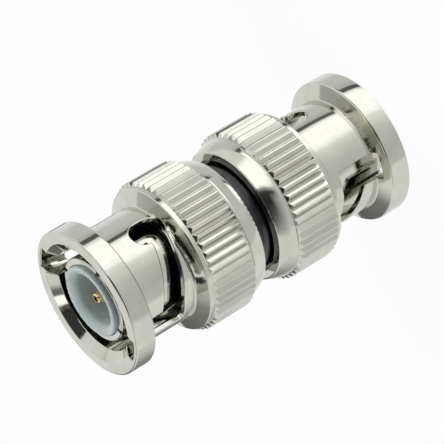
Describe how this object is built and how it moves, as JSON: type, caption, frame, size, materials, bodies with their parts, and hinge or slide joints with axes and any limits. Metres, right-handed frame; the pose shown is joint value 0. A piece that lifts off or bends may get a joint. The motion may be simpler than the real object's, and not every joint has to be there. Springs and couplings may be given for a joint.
{
  "type": "coaxial adapter",
  "caption": "Bayonet coaxial adapter, plug to plug: flanged, knurled coupling nuts with ramp slots back to back on a centre body, slotted outer contacts and a gold centre pin.",
  "frame": {"origin": "on the axis, at the front face of the far nut, which the adapter stands on", "axes": "+Z along the axis from the far plug to the near plug; +X through an entry channel of the near nut"},
  "size_m": [0.0144, 0.0144, 0.0312],
  "materials": {
    "nickel": "bright nickel plate on brass",
    "dull_nickel": "nickel plate on brass, in shade between the nuts",
    "gold": "gold plate",
    "insulator": "smooth pale fluoroplastic",
    "spring_steel": "plain spring steel",
    "gasket": "matt silicone rubber"
  },
  "bodies": {
    "body": {"centre_body": "dull_nickel", "near_shell": "nickel", "far_shell": "nickel", "near_insulator": "insulator", "far_insulator": "insulator", "centre_contact": "gold", "near_gasket": "gasket", "far_gasket": "gasket", "near_slip_ring": "spring_steel", "far_slip_ring": "spring_steel", "near_wave_washer": "spring_steel", "far_wave_washer": "spring_steel"},
    "near_washer": {"near_thrust_washer": "spring_steel"},
    "far_washer": {"far_thrust_washer": "spring_steel"},
    "near_nut": {"near_nut": "nickel"},
    "far_nut": {"far_nut": "nickel"}
  },
  "joints": [
    {"name": "near_pull", "type": "slide", "parent": "body", "child": "near_washer", "axis": [0, 0, 1], "range_m": [0, 0.001], "stiffness_N_per_m": 400, "springref_m": -0.001, "deforming": ["near_wave_washer"]},
    {"name": "near_spin", "type": "hinge", "parent": "near_washer", "child": "near_nut", "pos_m": [0, 0, 0.01827], "axis": [0, 0, 1], "continuous": true},
    {"name": "far_pull", "type": "slide", "parent": "body", "child": "far_washer", "axis": [0, 0, -1], "range_m": [0, 0.001], "stiffness_N_per_m": 400, "springref_m": -0.001, "deforming": ["far_wave_washer"]},
    {"name": "far_spin", "type": "hinge", "parent": "far_washer", "child": "far_nut", "pos_m": [0, 0, 0.01288], "axis": [0, 0, 1], "continuous": true}
  ]
}
